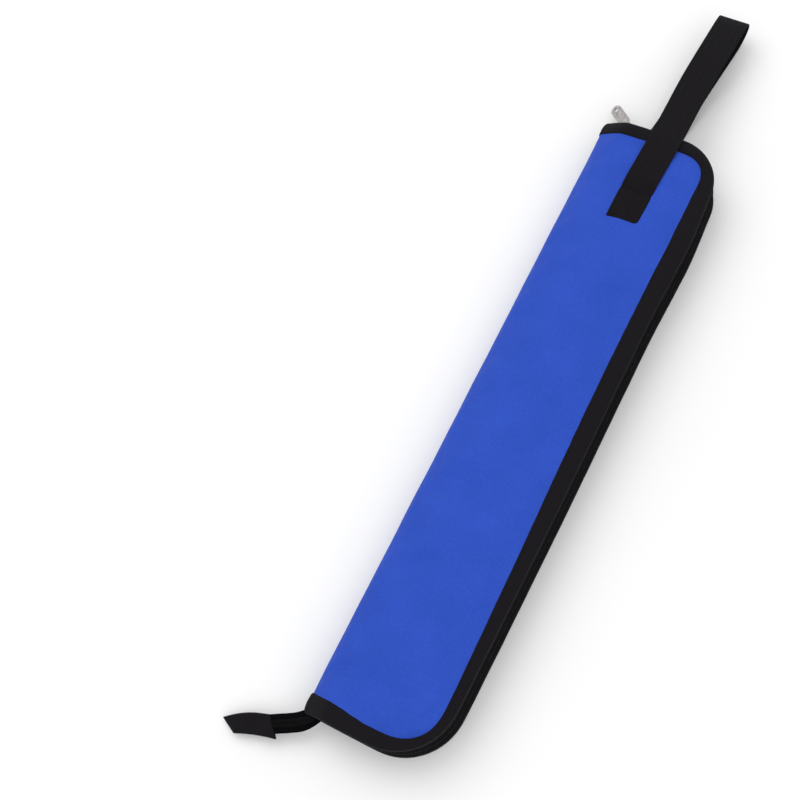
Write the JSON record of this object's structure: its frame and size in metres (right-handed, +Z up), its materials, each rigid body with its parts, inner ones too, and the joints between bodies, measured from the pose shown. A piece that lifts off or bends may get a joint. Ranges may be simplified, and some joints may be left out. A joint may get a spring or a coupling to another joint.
{
  "type": "drum stick bag",
  "caption": "Padded fold-open stick bag with a three-sided zip, webbing carry loop, inner stick pockets and two tom straps with swivel hooks",
  "frame": {"origin": "centre of the face the closed bag rests on, on the table under its back cover", "axes": "+Z up through the thickness, +Y along the length to the carry handle, +X from the spine to the zip side"},
  "size_m": [0.138, 0.5983, 0.034],
  "materials": {
    "blue_oxford": "coated plain weave",
    "black_binding": "folded grosgrain tape",
    "black_lining": "fine plain weave",
    "padding": "closed foam",
    "black_webbing": "herringbone webbing",
    "zip_tape": "fine herringbone tape",
    "zip_coil": "nylon coil",
    "slider_metal": "plated die casting",
    "hook_plastic": "moulded acetal",
    "pin_steel": "plain"
  },
  "bodies": {
    "back_cover": {"back_outer_fabric": "blue_oxford", "back_foam": "padding", "back_lining": "black_lining", "back_edge_binding": "black_binding", "back_zip_tape": "zip_tape", "back_zip_teeth": "zip_coil", "back_pocket": "blue_oxford", "back_pocket_hem": "blue_oxford", "back_handle_tab": "black_webbing", "back_strap_anchor": "black_webbing", "zip_stop": "slider_metal"},
    "spine": {"spine_outer_fabric": "blue_oxford", "spine_foam": "padding", "spine_lining": "black_lining"},
    "front_cover": {"front_outer_fabric": "blue_oxford", "front_foam": "padding", "front_lining": "black_lining", "front_edge_binding": "black_binding", "front_zip_tape": "zip_tape", "front_zip_teeth": "zip_coil", "front_pocket": "blue_oxford", "front_pocket_hem": "blue_oxford", "front_handle_tab": "black_webbing", "front_strap_anchor": "black_webbing"},
    "slider": {"zip_slider": "slider_metal"},
    "pull_tab": {"zip_pull_tab": "slider_metal"},
    "zip_tail": {"zip_tail_tape": "zip_tape", "zip_tail_teeth": "zip_coil", "zip_tail_end_tab": "black_binding"},
    "back_handle": {"back_handle_leg": "black_webbing"},
    "front_handle": {"front_handle_leg": "black_webbing"},
    "back_strap": {"back_tom_strap": "black_webbing"},
    "back_hook_base": {"back_hook_base": "hook_plastic"},
    "back_hook": {"back_hook_body": "hook_plastic", "back_hook_gate_pin": "pin_steel"},
    "back_gate": {"back_hook_gate": "hook_plastic"},
    "front_strap": {"front_tom_strap": "black_webbing"},
    "front_hook_base": {"front_hook_base": "hook_plastic"},
    "front_hook": {"front_hook_body": "hook_plastic", "front_hook_gate_pin": "pin_steel"},
    "front_gate": {"front_hook_gate": "hook_plastic"}
  },
  "joints": [
    {"name": "spine_hinge", "type": "hinge", "parent": "back_cover", "child": "spine", "pos_m": [-0.0445, 0, 0.012], "axis": [0, -1, 0], "range_deg": [0, 90]},
    {"name": "cover_hinge", "type": "hinge", "parent": "spine", "child": "front_cover", "pos_m": [-0.0445, 0, 0.022], "axis": [0, -1, 0], "range_deg": [0, 90]},
    {"name": "zip_slide", "type": "slide", "parent": "back_cover", "child": "slider", "axis": [1, 0, 0], "range_m": [0, 0.038]},
    {"name": "pull_hinge", "type": "hinge", "parent": "slider", "child": "pull_tab", "pos_m": [-0.03, 0.2298, 0.017], "axis": [1, 0, 0], "range_deg": [0, 50]},
    {"name": "tail_hinge", "type": "hinge", "parent": "back_cover", "child": "zip_tail", "pos_m": [-0.0425, -0.2316, 0.015], "axis": [-0.4384, 0.8988, 0], "range_deg": [0, 25]},
    {"name": "back_handle_swing", "type": "hinge", "parent": "back_cover", "child": "back_handle", "pos_m": [0, 0.1873, 0], "axis": [0, 0, 1], "range_deg": [0, 16.1]},
    {"name": "front_handle_swing", "type": "hinge", "parent": "front_cover", "child": "front_handle", "pos_m": [0, 0.1873, 0.034], "axis": [0, 0, 1], "range_deg": [0, 16.1]},
    {"name": "back_strap_swing", "type": "hinge", "parent": "back_cover", "child": "back_strap", "pos_m": [0.0235, 0.187, 0.0063], "axis": [-1, 0, 0], "range_deg": [0, 144]},
    {"name": "back_hook_pivot", "type": "hinge", "parent": "back_strap", "child": "back_hook_base", "pos_m": [0.0235, 0.12116, 0.0109], "axis": [-1, 0, 0], "range_deg": [0, 15]},
    {"name": "back_hook_swivel", "type": "hinge", "parent": "back_hook_base", "child": "back_hook", "pos_m": [0.0235, 0.10919, 0.01174], "axis": [0, -0.9976, 0.0698], "continuous": true},
    {"name": "back_gate_hinge", "type": "hinge", "parent": "back_hook", "child": "back_gate", "pos_m": [0.0303, 0.10061, 0.01234], "axis": [0, -0.0698, -0.9976], "range_deg": [0, 20], "stiffness_Nm_per_rad": 0.01, "springref_deg": -5.73},
    {"name": "front_strap_swing", "type": "hinge", "parent": "front_cover", "child": "front_strap", "pos_m": [0.0115, 0.175, 0.0277], "axis": [0.9976, -0.0698, 0], "range_deg": [0, 136.8]},
    {"name": "front_hook_pivot", "type": "hinge", "parent": "front_strap", "child": "front_hook_base", "pos_m": [0.00691, 0.10932, 0.0231], "axis": [0.9976, -0.0698, 0], "range_deg": [0, 15]},
    {"name": "front_hook_swivel", "type": "hinge", "parent": "front_hook_base", "child": "front_hook", "pos_m": [0.00607, 0.09738, 0.02226], "axis": [0.0696, 0.9951, 0.0698], "continuous": true},
    {"name": "front_gate_hinge", "type": "hinge", "parent": "front_hook", "child": "front_gate", "pos_m": [0.01226, 0.08835, 0.02166], "axis": [0.0049, 0.0696, -0.9976], "range_deg": [0, 20], "stiffness_Nm_per_rad": 0.01, "springref_deg": -5.73}
  ],
  "couplings": [
    {"joint": "cover_hinge", "follows": "spine_hinge", "ratio": 1},
    {"joint": "back_handle_swing", "follows": "spine_hinge", "ratio": 0.17889},
    {"joint": "front_handle_swing", "follows": "spine_hinge", "ratio": 0.17889},
    {"joint": "back_strap_swing", "follows": "spine_hinge", "ratio": 1.6},
    {"joint": "front_strap_swing", "follows": "spine_hinge", "ratio": 1.52}
  ]
}
